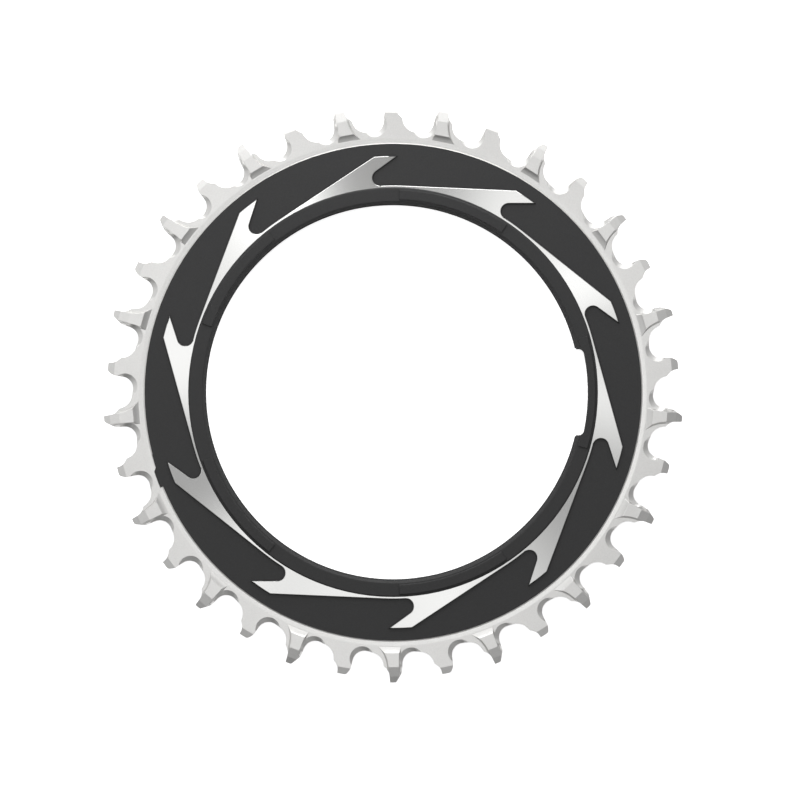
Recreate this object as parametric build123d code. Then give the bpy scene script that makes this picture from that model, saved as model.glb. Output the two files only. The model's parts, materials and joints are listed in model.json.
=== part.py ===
from build123d import *

import os
from math import acos, atan2, cos, degrees, hypot, radians, sin, tan

# A narrow-wide bicycle chainring, machined from one plate. Millimetres.
# The wheel's axis is Z, the outboard face looks along +Z, and z = 0 is the
# middle of the teeth, where the chain runs.

# Chain and tooth count. Wide and narrow teeth take turns, so teeth come in pairs.
chain_pitch = 12.7
tooth_pairs = 17
first_wide_angle = -90

# Through outline of a tooth gap, seen from the front with the tooth tips up.
# Its right side is the steep back of a tooth, its left side the pushing flank.
steep_arc_radius = 3.0
steep_arc_shift = 0.9
steep_arc_drop = 0.79
steep_flank_lean = 9.2
steep_bend_height = 0.7
steep_bend_radius = 2.4
steep_tip_lean = 36
push_arc_radius = 3.65
push_arc_shift = 0.37
push_arc_rise = 0.08
push_arc_lean = 7
shoulder_slope = 40
shoulder_length = 1.0
shoulder_bend_slope = 57
shoulder_bend_length = 1.5
push_tip_lean = 11

# Tooth thickness, tips over the pitch circle, and the turned slopes at the tips.
narrow_thickness = 2.1
narrow_tip_height = 2.78
narrow_bevel_width = 1.7
narrow_bevel_angle = 20
wide_thickness = 3.9
wide_tip_height = 3.8
wide_slope_start = -0.1
wide_slope_width = 2.35
wide_slope_angle = 14
wide_bevel_angle = 30
tip_overrun = 0.3
narrow_tip_round = 0.9
wide_tip_round = 0.6

# Crest of a wide tooth: its widths on both sides of the middle line, at levels
# over the pitch circle, the run of its sloping sides, and the ramp at its root.
crest_tip_level = 3.2
crest_mid_level = -0.8
crest_push_tip_width = 0.62
crest_push_mid_width = 1.19
crest_push_foot_width = 4.6
crest_steep_tip_width = 1.1
crest_steep_width = 1.5
crest_push_run = 0.42
crest_steep_run = 0.5
ramp_width = 1.75
ramp_start_dip = 0.1
ramp_bend_reach = 0.95
ramp_bend_rise = 0.26

# Scoop that clears the side plates of the chain at the root of each gap.
scoop_radius = 3.05
scoop_shift = 1.62
scoop_drop = 1.82
scoop_depth = 0.75
scoop_end_radius = 2.7

# Plate between the teeth and the inner rim. The turned groove round it lies this
# far inside the pitch circle, and the floor steps down into it.
floor_thickness = 2.7
groove_inset = 5.37
groove_width = 1.05
groove_depth = 0.1
floor_step = 0.2

# Raised lands: a strip round the inner rim with swept heads, which reach over this
# share of the plate between the strip and the groove.
land_count = 10
land_rise = 0.6
land_strip_width = 0.4
land_head_share = 0.693
land_sweep = 33.5
land_taper = 2.5
land_head_width = 4.34
land_nose_radius = 2.06
land_wall_run = 0.22

# Inner rim, which stands over the lands, with its threaded bore and the seat at the back.
bore_radius = 46.8
rim_front_width = 4.4
rim_front_rise = 0.25
rim_front_chamfer = 0.95
rim_edge_run = 0.3
rim_depth = 3.9
rim_back_width = 5.2
rim_back_chamfer = 0.5

# Seat pads on the front of the inner rim, and the gaps inside and outside them.
pad_count = 5
pad_arc = 32.4
pad_rise = 0.4
pad_inner_gap = 1.2
pad_outer_gap = 0.45
pad_wall_run = 0.25

# Notch through the inner rim, and the index tab over the turned groove.
notch_arc = 26.2
notch_depth = 1.95
notch_corner_radius = 1.4
tab_angle = 199.9
tab_arc = 4.9
tab_slant = 0.9
tab_reach = 0.75

# How far cutting shapes run past what they cut, and how near counts as meeting.
overcut = 1.0
small_overcut = 0.1
match_tolerance = 0.01

# Worked out from the sizes above.
tooth_count = 2 * tooth_pairs
pitch_radius = chain_pitch / 2 / sin(radians(180 / tooth_count))
narrow_tip_radius = pitch_radius + narrow_tip_height
wide_tip_radius = pitch_radius + wide_tip_height
narrow_face = narrow_thickness / 2
wide_face = wide_thickness / 2
floor_face = floor_thickness / 2
land_face = floor_face + land_rise
rim_face = land_face + rim_front_rise
groove_outer_radius = pitch_radius - groove_inset
groove_inner_radius = groove_outer_radius - groove_width
floor_outer_radius = groove_inner_radius - floor_step
rim_back_radius = bore_radius + rim_back_width
land_inner_radius = bore_radius + rim_front_width
land_foot_radius = land_inner_radius + land_strip_width
land_head_height = land_head_share * (floor_outer_radius - land_foot_radius)
land_head_radius = land_foot_radius + land_head_height


def polar(radius, angle):
    """The point at this radius and this angle in degrees."""
    return Vector(radius * cos(radians(angle)), radius * sin(radians(angle)))


def arc(centre, radius, start, end):
    """An arc from one angle to another round a centre."""
    ends = [centre + polar(radius, angle) for angle in (start, (start + end) / 2, end)]
    return ThreePointArc(*ends)


def around(shape, count, start=0.0):
    """Copies of a shape, evenly spaced round Z."""
    return [Rot(Z=start + k * 360 / count) * shape for k in range(count)]


def turned(*points):
    """A full turn about Z of an outline given as (radius, height) points."""
    section = Plane.XZ * make_face(Polyline(*points, close=True))
    return revolve(section, Axis.Z, 360)


def sector(inner, outer, span):
    """A piece of a flat ring, centred on the +X direction."""
    half = span / 2
    centre = Vector(0, 0)
    edges = [
        arc(centre, outer, -half, half),
        Line(polar(outer, half), polar(inner, half)),
        arc(centre, inner, half, -half),
        Line(polar(inner, -half), polar(outer, -half)),
    ]
    return make_face(edges)


def blank():
    """The turned blank: inner rim, floor, groove and the disc of the narrow teeth."""
    bevel_start = narrow_tip_radius - narrow_bevel_width
    bevel_end = narrow_tip_radius + tip_overrun
    bevel_face = narrow_face - (bevel_end - bevel_start) * tan(radians(narrow_bevel_angle))
    return turned(
        (bore_radius - overcut, rim_face),
        (land_inner_radius - rim_edge_run, rim_face),
        (land_inner_radius, land_face),
        (land_inner_radius, floor_face),
        (floor_outer_radius, floor_face),
        (groove_inner_radius, narrow_face - groove_depth),
        (groove_outer_radius, narrow_face),
        (bevel_start, narrow_face),
        (bevel_end, bevel_face),
        (bevel_end, -bevel_face),
        (bevel_start, -narrow_face),
        (groove_outer_radius, -narrow_face),
        (floor_outer_radius, -floor_face),
        (rim_back_radius, -floor_face),
        (rim_back_radius, rim_back_chamfer - rim_depth),
        (rim_back_radius - rim_back_chamfer, -rim_depth),
        (bore_radius - overcut, -rim_depth),
    )


def crest_outline(level):
    """Section of a wide tooth's crest at a height, its tip towards +Y, with sloping sides."""
    share = (wide_face - level) / (wide_face - narrow_face)
    push = share * crest_push_run
    steep = share * crest_steep_run
    tip = pitch_radius + crest_tip_level
    mid = pitch_radius + crest_mid_level
    foot = groove_outer_radius - overcut
    top = wide_tip_radius + overcut
    push_foot = (crest_push_foot_width + push, foot)
    push_side = Line((crest_push_tip_width + push, tip), (crest_push_mid_width + push, mid))
    push_flare = TangentArc(push_side @ 1, push_foot, tangent=push_side % 1)
    other_sides = Polyline(
        push_foot,
        (-crest_steep_width - steep, foot),
        (-crest_steep_width - steep, mid),
        (-crest_steep_tip_width - steep, tip),
        (-crest_steep_tip_width - steep, top),
        (crest_push_tip_width + push, top),
        push_side @ 0,
    )
    return Pos(Z=level) * make_face([push_side, push_flare, *other_sides.edges()])


def crest_ring(span):
    """Part of a ring as thick as the wide teeth, with the ramps at its root and the tip slopes."""
    slope_start = pitch_radius + wide_slope_start
    slope_end = slope_start + wide_slope_width
    slope_face = wide_face - wide_slope_width * tan(radians(wide_slope_angle))
    bevel_end = wide_tip_radius + tip_overrun
    bevel_face = slope_face - (bevel_end - slope_end) * tan(radians(wide_bevel_angle))
    profile = Polyline(
        (groove_outer_radius, narrow_face - ramp_start_dip),
        (groove_outer_radius + ramp_bend_reach, narrow_face + ramp_bend_rise),
        (groove_outer_radius + ramp_width, wide_face),
        (slope_start, wide_face),
        (slope_end, slope_face),
        (bevel_end, bevel_face),
        (bevel_end, 0),
        (groove_outer_radius, 0),
        close=True,
    )
    section = Plane.XZ * make_face(profile)
    return Rot(Z=90 - span / 2) * revolve(section, Axis.Z, span)


def wide_crest():
    """What a wide tooth adds to the blank, before the gaps are cut."""
    low = narrow_face - overcut / 2
    high = wide_face + small_overcut
    sides = loft([crest_outline(low), crest_outline(high)], ruled=True)
    column = extrude(crest_outline(low), low, dir=(0, 0, -1))
    half = crest_ring(360 / tooth_pairs) & (sides + column)
    return half + mirror(half, about=Plane.XY)


def gap_outline():
    """Through outline of one gap, with its middle line along +Y."""
    steep_centre = Vector(steep_arc_shift, pitch_radius - steep_arc_drop)
    push_centre = Vector(-push_arc_shift, pitch_radius + push_arc_rise)
    apart = steep_centre - push_centre
    aim = degrees(atan2(apart.Y, apart.X))
    root_angle = aim - degrees(acos((push_arc_radius - steep_arc_radius) / apart.length))
    top = wide_tip_radius + overcut

    steep_arc = arc(steep_centre, steep_arc_radius, root_angle, -steep_flank_lean)
    flank_rise = pitch_radius + steep_bend_height - (steep_arc @ 1).Y
    bend_start = steep_arc @ 1 + Vector(flank_rise * tan(radians(steep_flank_lean)), flank_rise)
    bend_centre = bend_start + polar(steep_bend_radius, -steep_flank_lean)
    bend = arc(bend_centre, steep_bend_radius, 180 - steep_flank_lean, 180 - steep_tip_lean)
    steep_rise = top - (bend @ 1).Y
    steep_top = bend @ 1 + Vector(steep_rise * tan(radians(steep_tip_lean)), steep_rise)

    push_arc = arc(push_centre, push_arc_radius, root_angle, push_arc_lean - 180)
    shoulder_end = push_arc @ 1 + polar(shoulder_length, 180 - shoulder_slope)
    shoulder_aim = polar(1, 180 - shoulder_slope)
    bend_end = shoulder_end + polar(shoulder_bend_length, 180 - shoulder_bend_slope)
    shoulder_bend = TangentArc(shoulder_end, bend_end, tangent=shoulder_aim)
    push_rise = top - bend_end.Y
    push_top = bend_end + Vector(-push_rise * tan(radians(push_tip_lean)), push_rise)

    edges = [
        Line(push_arc @ 0, steep_arc @ 0),
        steep_arc,
        Line(steep_arc @ 1, bend_start),
        bend,
        Line(bend @ 1, steep_top),
        Line(steep_top, push_top),
        Line(push_top, bend_end),
        shoulder_bend,
        Line(shoulder_end, push_arc @ 1),
        push_arc,
    ]
    return make_face(edges)


def steep_corners(teeth, tip_radius):
    """The tip corners at this radius that lie on the steep side of their teeth."""
    pitch = 360 / tooth_count
    corners = []
    for corner in teeth.vertices():
        turn = degrees(atan2(corner.Y, corner.X)) - first_wide_angle
        off_middle = (turn + pitch / 2) % pitch - pitch / 2
        if abs(hypot(corner.X, corner.Y) - tip_radius) < match_tolerance and off_middle > 0:
            corners.append(corner)
    return corners


def teeth_outline():
    """Outline of all the teeth, wide and narrow, rounded at the steep side of each tip."""
    pitch = 360 / tooth_count
    wide_sector = sector(pitch_radius, wide_tip_radius, pitch)
    teeth = Circle(narrow_tip_radius) + around(wide_sector, tooth_pairs, first_wide_angle)
    teeth = teeth - around(gap_outline(), tooth_count, first_wide_angle - 90 + pitch / 2)
    teeth = fillet(steep_corners(teeth, narrow_tip_radius), narrow_tip_round)
    return fillet(steep_corners(teeth, wide_tip_radius), wide_tip_round)


def scoop():
    """Round cut that slants into one gap from each face, and goes straight over the face."""
    gap_centre = Vector(steep_arc_shift, pitch_radius - steep_arc_drop)
    front = Vector(scoop_shift, pitch_radius - scoop_drop)
    towards_root = (front - gap_centre).normalized()
    touching = gap_centre + towards_root * (steep_arc_radius - scoop_end_radius)
    past = 1 + overcut / scoop_depth / 2
    end = front + (touching - front) * past
    end_radius = scoop_radius + (scoop_end_radius - scoop_radius) * past
    mouth = Pos(front.X, front.Y, narrow_face) * Circle(scoop_radius)
    bottom = Pos(end.X, end.Y, narrow_face - scoop_depth * past) * Circle(end_radius)
    half = loft([bottom, mouth], ruled=True) + extrude(mouth, wide_face)
    return half + mirror(half, about=Plane.XY)


def land_outline(growth):
    """The swept land heads and the strip that joins them, filled to the middle and grown."""
    step = 360 / land_count
    foot_radius = land_foot_radius + growth
    head_radius = land_head_radius + growth
    nose_radius = max(min(land_nose_radius, land_head_height / 3) - growth, match_tolerance)
    edge_offset = land_foot_radius - land_head_width - growth
    sweep_angle = 90 + land_sweep
    edge_angle = sweep_angle + land_taper
    corner_angle = sweep_angle - degrees(acos(foot_radius / head_radius))
    tip_angle = edge_angle - degrees(acos(edge_offset / head_radius))
    nose_orbit = foot_radius + nose_radius
    nose_angle = edge_angle - degrees(acos((edge_offset - nose_radius) / nose_orbit))
    nose = arc(polar(nose_orbit, nose_angle), nose_radius, edge_angle, nose_angle + 180)
    middle = Vector(0, 0)
    head = arc(middle, head_radius, corner_angle, tip_angle)
    strip = arc(middle, foot_radius, nose_angle, sweep_angle - step)
    one_land = [
        head,
        Line(head @ 1, nose @ 0),
        nose,
        strip,
        Line(strip @ 1, polar(head_radius, corner_angle - step)),
    ]
    return make_face([Rot(Z=k * step) * edge for k in range(land_count) for edge in one_land])


def lands():
    """The lands as one plug, with walls that lean out towards the floor."""
    depth = land_rise + small_overcut
    foot = Pos(Z=land_face - depth) * land_outline(land_wall_run * depth / land_rise)
    return loft([foot, Pos(Z=land_face) * land_outline(0)], ruled=True)


def pads():
    """Raised seat pads on the inner rim, outside the thread chamfer."""
    inner = bore_radius + pad_inner_gap
    outer = land_inner_radius - pad_outer_gap
    profile = Polyline(
        (inner, 0),
        (inner, rim_face),
        (inner + pad_wall_run, rim_face + pad_rise),
        (outer - pad_wall_run, rim_face + pad_rise),
        (outer, rim_face),
        (outer, 0),
        close=True,
    )
    pad = revolve(Plane.XZ * make_face(profile), Axis.Z, pad_arc)
    return around(pad, pad_count, -pad_arc / 2)


def index_tab():
    """Small tab of the floor that reaches over the turned groove."""
    inner = floor_outer_radius - overcut
    outer = floor_outer_radius + tab_reach
    start = tab_angle - tab_arc / 2
    end = tab_angle + tab_arc / 2
    edges = [
        arc(Vector(0, 0), outer, start + tab_slant, end),
        Line(polar(outer, end), polar(inner, end)),
        Line(polar(inner, end), polar(inner, start)),
        Line(polar(inner, start), polar(floor_outer_radius, start)),
        Line(polar(floor_outer_radius, start), polar(outer, start + tab_slant)),
    ]
    return extrude(make_face(edges), floor_face)


def bore_cut():
    """The bore with its chamfers."""
    return turned(
        (0, -rim_depth - overcut),
        (bore_radius + rim_back_chamfer + overcut, -rim_depth - overcut),
        (bore_radius, rim_back_chamfer - rim_depth),
        (bore_radius, rim_face - rim_front_chamfer),
        (bore_radius + rim_front_chamfer + overcut, rim_face + overcut),
        (0, rim_face + overcut),
    )


def notch():
    """Notch through the inner rim, with rounded outer corners."""
    outline = sector(bore_radius - overcut, bore_radius + notch_depth, notch_arc)
    corners = outline.vertices().sort_by(lambda v: v.X**2 + v.Y**2)[-2:]
    outline = fillet(corners, notch_corner_radius)
    return extrude(outline, rim_depth + overcut, both=True)


def chainring():
    """The whole chainring as one solid."""
    half_gap = 180 / tooth_count
    body = blank() + lands() + around(wide_crest(), tooth_pairs, first_wide_angle - 90)
    body = body & extrude(teeth_outline(), rim_depth + overcut, both=True)
    body = body - around(scoop(), tooth_count, first_wide_angle - 90 + half_gap)
    body = body - bore_cut()
    return body + pads() + index_tab() - notch()


if __name__ == "__main__":
    os.makedirs("parts", exist_ok=True)
    export_step(chainring(), "parts/chainring.step")
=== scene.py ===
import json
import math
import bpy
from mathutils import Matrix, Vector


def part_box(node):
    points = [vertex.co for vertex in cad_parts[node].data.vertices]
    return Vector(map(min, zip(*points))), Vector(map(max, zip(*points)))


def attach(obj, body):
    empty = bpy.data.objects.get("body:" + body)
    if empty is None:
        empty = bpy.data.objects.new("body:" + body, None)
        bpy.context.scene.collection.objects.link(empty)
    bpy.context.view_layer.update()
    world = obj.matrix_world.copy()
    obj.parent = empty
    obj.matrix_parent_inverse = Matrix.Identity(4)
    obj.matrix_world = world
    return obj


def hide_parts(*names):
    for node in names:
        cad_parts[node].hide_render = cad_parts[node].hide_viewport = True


bl_info = {
    "name": "Bicycle chainring",
    "version": (1, 0, 0),
    "blender": (4, 5, 0),
    "location": "3D View > Sidebar > Chainring",
    "description": "Finishes a machined narrow-wide chainring and sets it on a white table",
    "category": "Object",
}

import bmesh
import bpy
from bpy.props import FloatProperty, FloatVectorProperty, IntProperty, PointerProperty
from mathutils import Vector

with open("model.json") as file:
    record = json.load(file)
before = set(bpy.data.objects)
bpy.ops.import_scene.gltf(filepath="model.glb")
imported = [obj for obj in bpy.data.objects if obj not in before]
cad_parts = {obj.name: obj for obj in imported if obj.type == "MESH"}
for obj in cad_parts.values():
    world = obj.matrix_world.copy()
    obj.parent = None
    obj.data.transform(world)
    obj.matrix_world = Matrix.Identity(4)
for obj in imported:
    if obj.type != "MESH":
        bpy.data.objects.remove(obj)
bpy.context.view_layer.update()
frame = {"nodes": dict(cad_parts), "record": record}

NODE = "chainring"
BODY = "root"
MM = 0.001

# Points of the CAD mesh nearer than this are one point, and heights or radii that differ
# by less are the same.
SAME_PLACE = 0.002 * MM
# How far inside a radius a face may start and still count as outside it.
RADIUS_SLACK = 0.01 * MM
# How far from the bore's radius a point may lie and still be on its wall.
BORE_SLACK = 0.02 * MM
# Faces that meet at less than this are one flat face of the real part.
FLAT_ANGLE = math.radians(0.05)
# The normal of a flat face points this much up or down, or more.
FLAT_NORMAL = 0.9999
# Under this angle an edge is only a facet's edge.
FACET_ANGLE = math.radians(4)
# Radii between which the curved ramps lie, whose turned edges stay soft.
RAMP_RADII = (63.5 * MM, 65.0 * MM)
# Teeth edges are broken from this far outside the floor.
TEETH_EDGE_START = 0.05 * MM

# The thread's ridge: half widths as a share of the pitch at its foot and crest, and how
# far its foot lies behind the crest as a share of the depth.
RIDGE_FOOT_SHARE = 0.49
RIDGE_CREST_SHARE = 0.06
RIDGE_SINK_SHARE = 1.15
RIDGE_STEPS = 240

# The table's half width and how far it lies under the ring.
TABLE_HALF_WIDTH = 3.0
TABLE_GAP = 0.02 * MM
# The ring of soft panels.
PANEL_OUTER_RADIUS = 0.1
PANEL_INNER_RADIUS = 0.012
PANEL_SEGMENTS = 72
# Where the lamps stand, what they point at and how large they are.
BEYOND_TOP = (-0.02, 0.17, 0.13)
UPPER_HALF = (0, 0.03, 0)
KEY_SIZE = (0.25, 0.06)
FAR_BEYOND_TOP = (0, 0.32, 0.09)
RING_CENTRE = (0, 0, 0)
LOW_SIZE = (0.4, 0.05)
# The view's distance is measured from this height.
VIEW_LEVEL = 1.0 * MM
CLIP_END = 100

# Light of the room as a share of its strength: straight above, then round rings that
# lie this many degrees from straight above, in even steps that start at +X.
ZENITH_LEVEL = 0.312
ROOM_RINGS = (
    (22, (0.053, 0.297, 0.302, 0.568, 0.020, 0.151)),
    (45, (0.165, 0.611, 0.510, 0.190, 0.228, 0.223)),
    (68, (0.087, 0.122, 0.199, 0.422, 0.044, 0.118)),
    (90, (0.362, 1.000, 0.000, 0.000)),
)
# Light of the soft panels as a share of their strength, every 15 degrees from -X round.
PANEL_LEVELS = (
    0.476, 0.000, 0.028, 0.521, 0.348, 0.426, 0.405, 0.495, 0.353, 0.119, 0.000, 0.183,
    0.491, 0.149, 0.651, 0.335, 0.484, 0.089, 0.000, 0.032, 1.000, 0.462, 0.312, 0.485,
)
# Share of the room's light that comes through the panels.
PANEL_SHEERNESS = 0.55


def thread_mount():
    """The bore that the frame's record states."""
    return next(m for m in frame["record"]["mounts"] if m["name"] == "spider_thread")


BORE_RADIUS = thread_mount()["dims"]["r_mm"] * MM


class ChainringShape(bpy.types.PropertyGroup):
    """Sizes that the finishing steps use."""

    floor_radius: FloatProperty(
        name="Floor radius",
        description="Radius where the black floor ends and the bare teeth begin",
        default=62.2 * MM,
        subtype="DISTANCE",
    )
    rim_radius: FloatProperty(
        name="Rim radius",
        description="Radius where the black rim ends and the polished lands begin",
        default=51.2 * MM,
        subtype="DISTANCE",
    )
    land_level: FloatProperty(
        name="Land level",
        description="Height over which a flat face outside the rim is a polished land",
        default=1.7 * MM,
        subtype="DISTANCE",
    )
    edge_width: FloatProperty(
        name="Edge width",
        description="Width of the broken edges on lands, pads and rim",
        default=0.08 * MM,
        subtype="DISTANCE",
    )
    tooth_edge_width: FloatProperty(
        name="Tooth edge width",
        description="Width of the broken edges on the teeth",
        default=0.05 * MM,
        subtype="DISTANCE",
    )
    broken_angle: FloatProperty(
        name="Broken angle",
        description="Angle between faces above which the edge between them is broken",
        default=math.radians(35),
        subtype="ANGLE",
    )
    sharp_angle: FloatProperty(
        name="Sharp angle",
        description="Angle between faces above which an edge is a real edge",
        default=math.radians(19),
        subtype="ANGLE",
    )
    thread_pitch: FloatProperty(
        name="Thread pitch",
        description="Rise of the thread in one turn",
        default=0.8 * MM,
        subtype="DISTANCE",
    )
    thread_depth: FloatProperty(
        name="Thread depth",
        description="Depth of the thread's root behind the bore's wall",
        default=0.3 * MM,
        subtype="DISTANCE",
    )
    thread_bottom: FloatProperty(
        name="Thread bottom",
        description="Height of the lowest ridge at its start",
        default=-3.1 * MM,
        subtype="DISTANCE",
    )
    thread_turns: IntProperty(
        name="Thread turns",
        description="How many ridges lie over each other in the bore",
        default=5,
        min=1,
    )
    notch_middle: FloatProperty(
        name="Notch middle",
        description="Direction of the notch from the axis",
        default=0.0,
        subtype="ANGLE",
    )
    notch_angle: FloatProperty(
        name="Notch angle",
        description="Angle from the middle of the notch to the thread's end beside it",
        default=math.radians(13.5),
        subtype="ANGLE",
    )


class ChainringFinish(bpy.types.PropertyGroup):
    """Colours and grain of the surfaces."""

    black: FloatVectorProperty(
        name="Black",
        description="Colour of the blasted and anodised surfaces",
        default=(0.0196, 0.0196, 0.02),
        subtype="COLOR",
    )
    bare: FloatVectorProperty(
        name="Bare metal",
        description="Colour of the blasted bare teeth",
        default=(0.80, 0.795, 0.78),
        subtype="COLOR",
    )
    bright: FloatVectorProperty(
        name="Bright metal",
        description="Colour of the turned lands",
        default=(0.69, 0.69, 0.68),
        subtype="COLOR",
    )
    grain: FloatProperty(
        name="Grain",
        description="Size of the blasting grain",
        default=0.28 * MM,
        subtype="DISTANCE",
    )


class ChainringStage(bpy.types.PropertyGroup):
    """The table, the light and the camera."""

    lens: FloatProperty(
        name="Lens",
        description="Focal length in millimetres",
        default=400.0,
    )
    view_width: FloatProperty(
        name="View width",
        description="Width of the picture at the teeth",
        default=0.2,
        subtype="DISTANCE",
    )
    view_centre: FloatVectorProperty(
        name="View centre",
        description="The point of the object's frame in the middle of the picture",
        size=2,
        default=(1.735 * MM, -1.95 * MM),
        subtype="XYZ",
    )
    world_strength: FloatProperty(
        name="Room light",
        description="Strength of the soft light from the room",
        default=2.40,
    )
    key_power: FloatProperty(
        name="Key power",
        description="Power of the soft lamp above the top of the picture",
        default=0.024,
        unit="POWER",
    )
    wash_power: FloatProperty(
        name="Wash power",
        description="Power of the lamp beside it that lights only dull surfaces",
        default=0.400,
        unit="POWER",
    )
    low_power: FloatProperty(
        name="Low power",
        description="Power of the low lamp far behind the top of the picture",
        default=0.198,
        unit="POWER",
    )
    panel_height: FloatProperty(
        name="Panel height",
        description="Height of the soft panels over the ring",
        default=0.3,
        subtype="DISTANCE",
    )
    panel_strength: FloatProperty(
        name="Panel strength",
        description="Strength of the soft panels that the polished lands reflect",
        default=2.24,
    )


def link(tree, source, target):
    """Joins two sockets."""
    tree.links.new(source, target)


def new_node(tree, kind, **values):
    """A shader or geometry node with its settings."""
    node = tree.nodes.new(kind)
    for name, value in values.items():
        setattr(node, name, value)
    return node


def math_node(tree, operation, first, second=None):
    """A Math node whose inputs are sockets or numbers."""
    node = new_node(tree, "ShaderNodeMath", operation=operation)
    for index, value in enumerate((first, second)):
        if value is None:
            continue
        if isinstance(value, (int, float)):
            node.inputs[index].default_value = value
        else:
            link(tree, value, node.inputs[index])
    return node.outputs[0]


def grain_group():
    """Fine blasting grain: a mask from 0 to 1 and a bumped normal."""
    name = "Blasted grain"
    if name in bpy.data.node_groups:
        return bpy.data.node_groups[name]
    tree = bpy.data.node_groups.new(name, "ShaderNodeTree")
    size = tree.interface.new_socket("Grain Size", in_out="INPUT", socket_type="NodeSocketFloat")
    size.default_value = 0.0003
    depth = tree.interface.new_socket("Depth", in_out="INPUT", socket_type="NodeSocketFloat")
    depth.default_value = 0.00001
    tree.interface.new_socket("Mask", in_out="OUTPUT", socket_type="NodeSocketFloat")
    tree.interface.new_socket("Normal", in_out="OUTPUT", socket_type="NodeSocketVector")
    given = new_node(tree, "NodeGroupInput")
    put = new_node(tree, "NodeGroupOutput")
    place = new_node(tree, "ShaderNodeTexCoord")
    scale = math_node(tree, "DIVIDE", 1.0, given.outputs["Grain Size"])
    noise = new_node(tree, "ShaderNodeTexNoise", noise_dimensions="3D")
    noise.inputs["Detail"].default_value = 3.0
    noise.inputs["Roughness"].default_value = 0.65
    link(tree, place.outputs["Object"], noise.inputs["Vector"])
    link(tree, scale, noise.inputs["Scale"])
    bump = new_node(tree, "ShaderNodeBump")
    bump.inputs["Strength"].default_value = 1.0
    link(tree, given.outputs["Depth"], bump.inputs["Distance"])
    link(tree, noise.outputs["Fac"], bump.inputs["Height"])
    link(tree, noise.outputs["Fac"], put.inputs["Mask"])
    link(tree, bump.outputs["Normal"], put.inputs["Normal"])
    return tree


def new_material(name):
    """An empty material with its tree, its Principled BSDF and the node to link it to."""
    material = bpy.data.materials.new(name)
    material.use_nodes = True
    tree = material.node_tree
    shader = tree.nodes["Principled BSDF"]
    return material, tree, shader


def add_grain(tree, size, depth):
    """Places the grain group in a material."""
    grain = new_node(tree, "ShaderNodeGroup", node_tree=grain_group())
    grain.inputs["Grain Size"].default_value = size
    grain.inputs["Depth"].default_value = depth
    return grain


def mix_colours(tree, mask, low, high):
    """A colour between two, by a mask."""
    mix = new_node(tree, "ShaderNodeMix", data_type="RGBA")
    mix.inputs["A"].default_value = (*low, 1)
    mix.inputs["B"].default_value = (*high, 1)
    link(tree, mask, mix.inputs["Factor"])
    return mix.outputs["Result"]


def scaled(colour, share):
    """A colour made lighter or darker."""
    return tuple(min(1.0, part * share) for part in colour)


def spread(tree, mask, low, high):
    """A mask stretched so that it runs from 0 at low to 1 at high."""
    node = new_node(tree, "ShaderNodeMapRange")
    node.inputs["From Min"].default_value = low
    node.inputs["From Max"].default_value = high
    link(tree, mask, node.inputs["Value"])
    return node.outputs["Result"]


def black_material(finish):
    """Blasted and anodised black."""
    material, tree, shader = new_material("blasted_black")
    grain = add_grain(tree, finish.grain, 0.012 * MM)
    mask = spread(tree, grain.outputs["Mask"], 0.3, 0.7)
    colour = mix_colours(tree, mask, scaled(finish.black, 0.8), scaled(finish.black, 1.25))
    link(tree, colour, shader.inputs["Base Color"])
    link(tree, grain.outputs["Normal"], shader.inputs["Normal"])
    shader.inputs["Roughness"].default_value = 0.5
    shader.inputs["Specular IOR Level"].default_value = 0.42
    return material


def bare_material(finish):
    """Blasted bare aluminium of the teeth."""
    material, tree, shader = new_material("bare_teeth")
    grain = add_grain(tree, finish.grain, 0.006 * MM)
    mask = spread(tree, grain.outputs["Mask"], 0.3, 0.7)
    colour = mix_colours(tree, mask, scaled(finish.bare, 0.95), scaled(finish.bare, 1.04))
    link(tree, colour, shader.inputs["Base Color"])
    link(tree, grain.outputs["Normal"], shader.inputs["Normal"])
    shader.inputs["Metallic"].default_value = 1.0
    shader.inputs["Roughness"].default_value = 0.34
    return material


def bright_material(finish):
    """Turned and polished aluminium of the lands, with lines round the axis."""
    material, tree, shader = new_material("turned_bright")
    place = new_node(tree, "ShaderNodeTexCoord")
    flat = new_node(tree, "ShaderNodeVectorMath", operation="MULTIPLY")
    flat.inputs[1].default_value = (1, 1, 0)
    link(tree, place.outputs["Object"], flat.inputs[0])
    radius = new_node(tree, "ShaderNodeVectorMath", operation="LENGTH")
    link(tree, flat.outputs["Vector"], radius.inputs[0])
    lines = new_node(tree, "ShaderNodeTexNoise", noise_dimensions="1D")
    lines.inputs["Scale"].default_value = 9000
    lines.inputs["Detail"].default_value = 4
    link(tree, radius.outputs["Value"], lines.inputs["W"])
    mask = spread(tree, lines.outputs["Fac"], 0.3, 0.7)
    colour = mix_colours(tree, mask, scaled(finish.bright, 0.95), finish.bright)
    link(tree, colour, shader.inputs["Base Color"])
    bump = new_node(tree, "ShaderNodeBump")
    bump.inputs["Strength"].default_value = 1.0
    bump.inputs["Distance"].default_value = 0.0006 * MM
    link(tree, lines.outputs["Fac"], bump.inputs["Height"])
    link(tree, bump.outputs["Normal"], shader.inputs["Normal"])
    turn = new_node(tree, "ShaderNodeTangent", direction_type="RADIAL", axis="Z")
    link(tree, turn.outputs["Tangent"], shader.inputs["Tangent"])
    shader.inputs["Metallic"].default_value = 1.0
    shader.inputs["Roughness"].default_value = 0.14
    shader.inputs["Anisotropic"].default_value = 0.7
    shader.inputs["Anisotropic Rotation"].default_value = 0.25
    return material


def merged_copy():
    """A copy of the CAD node's mesh with its points joined and its flat faces whole."""
    mesh = bmesh.new()
    mesh.from_mesh(frame["nodes"][NODE].data)
    bmesh.ops.remove_doubles(mesh, verts=mesh.verts, dist=SAME_PLACE)
    bmesh.ops.dissolve_limit(
        mesh,
        angle_limit=FLAT_ANGLE,
        verts=mesh.verts,
        edges=mesh.edges,
    )
    return mesh


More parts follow.
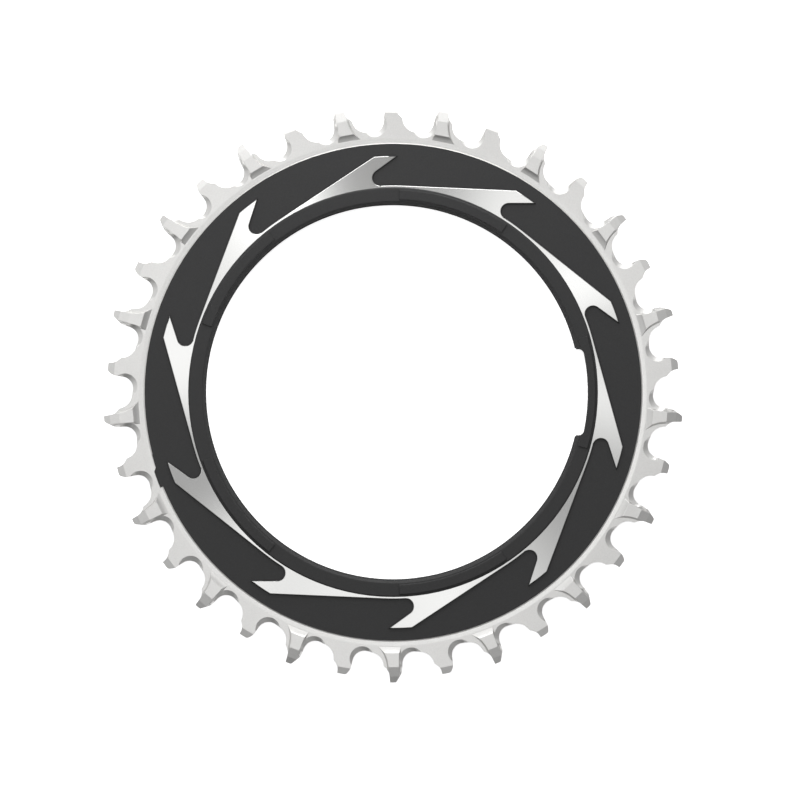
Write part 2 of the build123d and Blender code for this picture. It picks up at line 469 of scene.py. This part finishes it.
def is_flat(face):
    """True for a face that looks straight up or down."""
    return abs(face.normal.z) > FLAT_NORMAL


def is_turned_edge(edge):
    """True for an edge that lies on a circle round the axis."""
    first, second = (vert.co for vert in edge.verts)
    same_height = abs(first.z - second.z) < SAME_PLACE
    return same_height and abs(first.to_2d().length - second.to_2d().length) < SAME_PLACE


def is_real_edge(edge, sharp_angle):
    """True for an edge of the real part, and not of the CAD mesh's facets."""
    if len(edge.link_faces) != 2:
        return False
    angle = edge.calc_face_angle(0)
    if angle > sharp_angle:
        return True
    if angle < FACET_ANGLE:
        return False
    if any(is_flat(face) for face in edge.link_faces):
        return True
    radius = edge.verts[0].co.to_2d().length
    on_ramp = RAMP_RADII[0] < radius < RAMP_RADII[1]
    return is_turned_edge(edge) and not on_ramp


def surface_of(face, shape):
    """Which finish a face has: 0 black, 1 bare metal, 2 bright land."""
    inner = min(vert.co.to_2d().length for vert in face.verts)
    height = face.verts[0].co.z
    if inner > shape.floor_radius - RADIUS_SLACK:
        return 1
    outside_rim = inner > shape.rim_radius - RADIUS_SLACK
    if is_flat(face) and height > shape.land_level and outside_rim:
        return 2
    return 0


def recess_bore(mesh, depth):
    """Moves the bore's wall back to its thread's root, its ends along the chamfers."""
    for vert in mesh.verts:
        radius = vert.co.to_2d().length
        if abs(radius - BORE_RADIUS) > BORE_SLACK:
            continue
        grow = (radius + depth) / radius
        vert.co.x *= grow
        vert.co.y *= grow
        vert.co.z += math.copysign(depth, vert.co.z)


def break_edges(mesh, shape):
    """Breaks the outward edges with a narrow flat, finer on the teeth than inside them."""
    teeth_start = shape.floor_radius + TEETH_EDGE_START
    for on_teeth, width in ((False, shape.edge_width), (True, shape.tooth_edge_width)):
        edges = []
        for edge in mesh.edges:
            radius = min(vert.co.to_2d().length for vert in edge.verts)
            if (radius > teeth_start) == on_teeth and edge.is_convex:
                if edge.calc_face_angle(0) > shape.broken_angle:
                    edges.append(edge)
        bmesh.ops.bevel(
            mesh,
            geom=edges,
            offset=width,
            offset_type="OFFSET",
            segments=1,
            profile=0.5,
            affect="EDGES",
            clamp_overlap=False,
            material=-1,
        )


def build_body(shape, finish):
    """The ring itself, with its finishes and broken edges."""
    mesh = merged_copy()
    recess_bore(mesh, shape.thread_depth)
    for face in mesh.faces:
        face.material_index = surface_of(face, shape)
    break_edges(mesh, shape)
    for face in mesh.faces:
        face.smooth = True
    for edge in mesh.edges:
        edge.smooth = not is_real_edge(edge, shape.sharp_angle)
    data = bpy.data.meshes.new("ring_body")
    for material in (black_material(finish), bare_material(finish), bright_material(finish)):
        data.materials.append(material)
    mesh.to_mesh(data)
    mesh.free()
    body = bpy.data.objects.new("ring_body", data)
    bpy.context.scene.collection.objects.link(body)
    return body


class CHAINRING_OT_body(bpy.types.Operator):
    """Dress the ring: finishes, broken edges and true normals"""

    bl_idname = "chainring.body"
    bl_label = "Ring body"

    def execute(self, context):
        scene = context.scene
        body = build_body(scene.chainring_shape, scene.chainring_finish)
        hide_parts(NODE)
        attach(body, BODY)
        return {"FINISHED"}


def set_input(modifier, name, value):
    """Sets one input of a geometry modifier by its socket's identifier."""
    for item in modifier.node_group.interface.items_tree:
        if item.name == name and item.in_out == "INPUT":
            modifier[item.identifier] = value
            return
    raise KeyError(name)


def corner(tree, up, across=None):
    """A corner of the ridge's section, on the bore's radius unless it lies across from it."""
    node = new_node(tree, "ShaderNodeCombineXYZ")
    link(tree, up, node.inputs["Y"])
    if across is not None:
        link(tree, across, node.inputs["X"])
    return node.outputs[0]


def thread_tree():
    """Geometry nodes that wind ridges round the bore, from one notch side to the other."""
    tree = bpy.data.node_groups.new("Thread", "GeometryNodeTree")
    for name, kind in (
        ("Radius", "NodeSocketFloat"),
        ("Depth", "NodeSocketFloat"),
        ("Pitch", "NodeSocketFloat"),
        ("Bottom", "NodeSocketFloat"),
        ("Notch Middle", "NodeSocketFloat"),
        ("Notch Angle", "NodeSocketFloat"),
        ("Turns", "NodeSocketInt"),
        ("Steps", "NodeSocketInt"),
        ("Finish", "NodeSocketMaterial"),
    ):
        tree.interface.new_socket(name, in_out="INPUT", socket_type=kind)
    tree.interface.new_socket("Geometry", in_out="OUTPUT", socket_type="NodeSocketGeometry")
    given = new_node(tree, "NodeGroupInput").outputs
    put = new_node(tree, "NodeGroupOutput")

    line = new_node(tree, "GeometryNodeCurvePrimitiveLine")
    steps = new_node(tree, "GeometryNodeResampleCurve")
    link(tree, line.outputs["Curve"], steps.inputs["Curve"])
    link(tree, given["Steps"], steps.inputs["Count"])
    along = new_node(tree, "GeometryNodeSplineParameter").outputs["Factor"]
    open_angle = math_node(tree, "MULTIPLY", given["Notch Angle"], 2.0)
    sweep = math_node(tree, "MULTIPLY", along, math_node(tree, "SUBTRACT", math.tau, open_angle))
    start = math_node(tree, "ADD", given["Notch Middle"], given["Notch Angle"])
    angle = math_node(tree, "ADD", start, sweep)
    rise = math_node(tree, "MULTIPLY", math_node(tree, "DIVIDE", sweep, math.tau), given["Pitch"])
    place = new_node(tree, "ShaderNodeCombineXYZ")
    for axis, turned in (("X", "COSINE"), ("Y", "SINE")):
        side = math_node(tree, turned, angle)
        link(tree, math_node(tree, "MULTIPLY", side, given["Radius"]), place.inputs[axis])
    link(tree, math_node(tree, "ADD", rise, given["Bottom"]), place.inputs["Z"])
    bend = new_node(tree, "GeometryNodeSetPosition")
    link(tree, steps.outputs["Curve"], bend.inputs["Geometry"])
    link(tree, place.outputs[0], bend.inputs["Position"])
    upright = new_node(tree, "GeometryNodeSetCurveNormal", mode="Z_UP")
    link(tree, bend.outputs["Geometry"], upright.inputs["Curve"])

    section = new_node(tree, "GeometryNodeCurvePrimitiveQuadrilateral", mode="POINTS")
    sunk = math_node(tree, "MULTIPLY", given["Depth"], RIDGE_SINK_SHARE)
    corners = (
        (RIDGE_FOOT_SHARE, sunk),
        (RIDGE_CREST_SHARE, None),
        (-RIDGE_CREST_SHARE, None),
        (-RIDGE_FOOT_SHARE, sunk),
    )
    for number, (share, across) in enumerate(corners, start=1):
        up = math_node(tree, "MULTIPLY", given["Pitch"], share)
        link(tree, corner(tree, up, across), section.inputs["Point %d" % number])
    ridge = new_node(tree, "GeometryNodeCurveToMesh")
    ridge.inputs["Fill Caps"].default_value = True
    link(tree, upright.outputs["Curve"], ridge.inputs["Curve"])
    link(tree, section.outputs["Curve"], ridge.inputs["Profile Curve"])

    levels = new_node(tree, "GeometryNodeMeshLine", mode="OFFSET")
    link(tree, given["Turns"], levels.inputs["Count"])
    offset = new_node(tree, "ShaderNodeCombineXYZ")
    link(tree, given["Pitch"], offset.inputs["Z"])
    link(tree, offset.outputs[0], levels.inputs["Offset"])
    stack = new_node(tree, "GeometryNodeInstanceOnPoints")
    link(tree, levels.outputs["Mesh"], stack.inputs["Points"])
    link(tree, ridge.outputs["Mesh"], stack.inputs["Instance"])
    real = new_node(tree, "GeometryNodeRealizeInstances")
    link(tree, stack.outputs["Instances"], real.inputs["Geometry"])
    coat = new_node(tree, "GeometryNodeSetMaterial")
    link(tree, real.outputs["Geometry"], coat.inputs["Geometry"])
    link(tree, given["Finish"], coat.inputs["Material"])
    link(tree, coat.outputs["Geometry"], put.inputs["Geometry"])
    return tree


def build_thread(shape, material):
    """The thread's ridges in front of the bore's wall."""
    source = bpy.data.objects.new("thread_source", bpy.data.meshes.new("thread_source"))
    bpy.context.scene.collection.objects.link(source)
    modifier = source.modifiers.new("Thread", "NODES")
    modifier.node_group = thread_tree()
    for name, value in (
        ("Radius", BORE_RADIUS),
        ("Depth", shape.thread_depth),
        ("Pitch", shape.thread_pitch),
        ("Bottom", shape.thread_bottom),
        ("Notch Middle", shape.notch_middle),
        ("Notch Angle", shape.notch_angle),
        ("Turns", shape.thread_turns),
        ("Steps", RIDGE_STEPS),
        ("Finish", material),
    ):
        set_input(modifier, name, value)
    depsgraph = bpy.context.evaluated_depsgraph_get()
    data = bpy.data.meshes.new_from_object(source.evaluated_get(depsgraph))
    bpy.data.objects.remove(source)
    data.materials.clear()
    data.materials.append(material)
    data.polygons.foreach_set("material_index", [0] * len(data.polygons))
    thread = bpy.data.objects.new("bore_thread", data)
    bpy.context.scene.collection.objects.link(thread)
    return thread


class CHAINRING_OT_thread(bpy.types.Operator):
    """Wind the fine thread round the bore"""

    bl_idname = "chainring.thread"
    bl_label = "Bore thread"

    def execute(self, context):
        thread = build_thread(context.scene.chainring_shape, bpy.data.materials["blasted_black"])
        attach(thread, BODY)
        return {"FINISHED"}


def table_material():
    """White table that still takes the ring's soft shadow."""
    material, tree, shader = new_material("white_table")
    shader.inputs["Base Color"].default_value = (0.9, 0.9, 0.9, 1)
    shader.inputs["Roughness"].default_value = 0.9
    shader.inputs["Specular IOR Level"].default_value = 0.0
    output = tree.nodes["Material Output"]
    glow = new_node(tree, "ShaderNodeEmission")
    glow.inputs["Strength"].default_value = 0.8
    add = new_node(tree, "ShaderNodeAddShader")
    path = new_node(tree, "ShaderNodeLightPath")
    mix = new_node(tree, "ShaderNodeMixShader")
    link(tree, shader.outputs[0], add.inputs[0])
    link(tree, glow.outputs[0], add.inputs[1])
    link(tree, path.outputs["Is Camera Ray"], mix.inputs["Fac"])
    link(tree, shader.outputs[0], mix.inputs[1])
    link(tree, add.outputs[0], mix.inputs[2])
    link(tree, mix.outputs[0], output.inputs["Surface"])
    return material


def make_table():
    """A flat white table under the ring."""
    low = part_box(NODE)[0].z - TABLE_GAP
    half = TABLE_HALF_WIDTH
    data = bpy.data.meshes.new("table")
    corners = [(-half, -half, low), (half, -half, low), (half, half, low), (-half, half, low)]
    data.from_pydata(corners, [], [(0, 1, 2, 3)])
    data.materials.append(table_material())
    table = bpy.data.objects.new("table", data)
    bpy.context.scene.collection.objects.link(table)


def set_stops(ramp, stops):
    """Gives a ColorRamp node its grey levels."""
    while len(ramp.color_ramp.elements) < len(stops):
        ramp.color_ramp.elements.new(1.0)
    for element, (position, level) in zip(ramp.color_ramp.elements, stops):
        element.position = position
        element.color = (level, level, level, 1)


def ring_level(tree, turn, levels):
    """The room's level round one ring of the sky, from even steps that start at +X."""
    ramp = new_node(tree, "ShaderNodeValToRGB")
    closed = (*levels, levels[0])
    set_stops(ramp, [(step / len(levels), level) for step, level in enumerate(closed)])
    link(tree, turn, ramp.inputs["Fac"])
    return ramp.outputs["Color"]


def make_room(strength):
    """Soft room light that differs by direction, and white behind everything."""
    world = bpy.data.worlds.new("studio")
    bpy.context.scene.world = world
    world.use_nodes = True
    tree = world.node_tree
    room = tree.nodes["Background"]
    place = new_node(tree, "ShaderNodeTexCoord")
    split = new_node(tree, "ShaderNodeSeparateXYZ")
    link(tree, place.outputs["Generated"], split.inputs[0])
    tilt = math_node(tree, "ARCCOSINE", split.outputs["Z"])
    azimuth = math_node(tree, "ARCTAN2", split.outputs["Y"], split.outputs["X"])
    turn = math_node(tree, "FRACT", math_node(tree, "DIVIDE", azimuth, math.tau))
    level = ring_level(tree, turn, (ZENITH_LEVEL,))
    low = 0.0
    for high, levels in ROOM_RINGS:
        share = spread(tree, tilt, math.radians(low), math.radians(high))
        mix = new_node(tree, "ShaderNodeMix", data_type="RGBA")
        link(tree, share, mix.inputs["Factor"])
        link(tree, level, mix.inputs["A"])
        link(tree, ring_level(tree, turn, levels), mix.inputs["B"])
        level = mix.outputs["Result"]
        low = high
    link(tree, level, room.inputs["Color"])
    room.inputs["Strength"].default_value = strength
    backdrop = new_node(tree, "ShaderNodeBackground")
    backdrop.inputs["Color"].default_value = (1, 1, 1, 1)
    path = new_node(tree, "ShaderNodeLightPath")
    mix = new_node(tree, "ShaderNodeMixShader")
    link(tree, path.outputs["Is Camera Ray"], mix.inputs["Fac"])
    link(tree, room.outputs[0], mix.inputs[1])
    link(tree, backdrop.outputs[0], mix.inputs[2])
    link(tree, mix.outputs[0], tree.nodes["World Output"].inputs["Surface"])


def make_lamp(name, place, aim, size, power, shines=True):
    """A soft lamp, which dull surfaces alone see if it doesn't shine."""
    data = bpy.data.lights.new(name, "AREA")
    data.shape = "RECTANGLE"
    data.size, data.size_y = size
    data.energy = power
    lamp = bpy.data.objects.new(name, data)
    lamp.location = place
    lamp.rotation_euler = (Vector(aim) - lamp.location).to_track_quat("-Z", "Y").to_euler()
    lamp.visible_glossy = shines
    bpy.context.scene.collection.objects.link(lamp)


def panel_material(strength):
    """Soft panels whose light differs by their angle round the axis, over the room's light."""
    material, tree, shader = new_material("soft_panels")
    tree.nodes.remove(shader)
    place = new_node(tree, "ShaderNodeTexCoord")
    split = new_node(tree, "ShaderNodeSeparateXYZ")
    link(tree, place.outputs["Object"], split.inputs[0])
    angle = math_node(tree, "ARCTAN2", split.outputs["Y"], split.outputs["X"])
    turn = math_node(tree, "ADD", math_node(tree, "DIVIDE", angle, math.tau), 0.5)
    ramp = new_node(tree, "ShaderNodeValToRGB")
    closed = (*PANEL_LEVELS, PANEL_LEVELS[0])
    set_stops(ramp, [(step / len(PANEL_LEVELS), level) for step, level in enumerate(closed)])
    link(tree, turn, ramp.inputs["Fac"])
    glow = new_node(tree, "ShaderNodeEmission")
    glow.inputs["Strength"].default_value = strength
    link(tree, ramp.outputs["Color"], glow.inputs["Color"])
    sheer = new_node(tree, "ShaderNodeBsdfTransparent")
    sheer.inputs["Color"].default_value = (*[PANEL_SHEERNESS] * 3, 1)
    both = new_node(tree, "ShaderNodeAddShader")
    link(tree, glow.outputs[0], both.inputs[0])
    link(tree, sheer.outputs[0], both.inputs[1])
    link(tree, both.outputs[0], tree.nodes["Material Output"].inputs["Surface"])
    return material


def make_panels(height, strength):
    """A ring of soft panels over the ring, which only glossy surfaces see."""
    mesh = bmesh.new()
    for radius in (PANEL_OUTER_RADIUS, PANEL_INNER_RADIUS):
        bmesh.ops.create_circle(mesh, cap_ends=False, segments=PANEL_SEGMENTS, radius=radius)
    for vert in mesh.verts:
        vert.co.z = height
    bmesh.ops.bridge_loops(mesh, edges=mesh.edges)
    data = bpy.data.meshes.new("soft_panels")
    mesh.to_mesh(data)
    mesh.free()
    data.materials.append(panel_material(strength))
    panels = bpy.data.objects.new("soft_panels", data)
    panels.visible_camera = False
    panels.visible_diffuse = False
    panels.visible_shadow = False
    bpy.context.scene.collection.objects.link(panels)


def make_camera(stage):
    """A camera straight above the ring, far away with a long lens."""
    data = bpy.data.cameras.new("camera")
    data.lens = stage.lens
    distance = stage.view_width * stage.lens / data.sensor_width
    data.clip_end = CLIP_END
    camera = bpy.data.objects.new("camera", data)
    camera.location = (*stage.view_centre[:2], distance + VIEW_LEVEL)
    bpy.context.scene.collection.objects.link(camera)
    bpy.context.scene.camera = camera


class CHAINRING_OT_stage(bpy.types.Operator):
    """Set the ring on a white table under soft light"""

    bl_idname = "chainring.stage"
    bl_label = "Stage"

    def execute(self, context):
        stage = context.scene.chainring_stage
        make_table()
        make_room(stage.world_strength)
        make_lamp("key", BEYOND_TOP, UPPER_HALF, KEY_SIZE, stage.key_power)
        make_lamp("wash", BEYOND_TOP, UPPER_HALF, KEY_SIZE, stage.wash_power, shines=False)
        make_lamp("low", FAR_BEYOND_TOP, RING_CENTRE, LOW_SIZE, stage.low_power)
        make_panels(stage.panel_height, stage.panel_strength)
        make_camera(stage)
        context.scene.view_settings.view_transform = "Standard"
        return {"FINISHED"}


class CHAINRING_PT_panel(bpy.types.Panel):
    """Lists the steps that dress the ring"""

    bl_label = "Chainring"
    bl_space_type = "VIEW_3D"
    bl_region_type = "UI"
    bl_category = "Chainring"

    def draw(self, context):
        for operator in OPERATORS:
            self.layout.operator(operator.bl_idname)


SETTINGS = {
    "chainring_shape": ChainringShape,
    "chainring_finish": ChainringFinish,
    "chainring_stage": ChainringStage,
}
OPERATORS = (CHAINRING_OT_body, CHAINRING_OT_thread, CHAINRING_OT_stage)
CLASSES = (*SETTINGS.values(), *OPERATORS, CHAINRING_PT_panel)


def register():
    for each in CLASSES:
        bpy.utils.register_class(each)
    for name, settings in SETTINGS.items():
        setattr(bpy.types.Scene, name, PointerProperty(type=settings))


def unregister():
    for name in SETTINGS:
        delattr(bpy.types.Scene, name)
    for each in reversed(CLASSES):
        bpy.utils.unregister_class(each)


def main():
    register()
    bpy.ops.chainring.body()
    bpy.ops.chainring.thread()
    bpy.ops.chainring.stage()


if __name__ == "__main__":
    main()
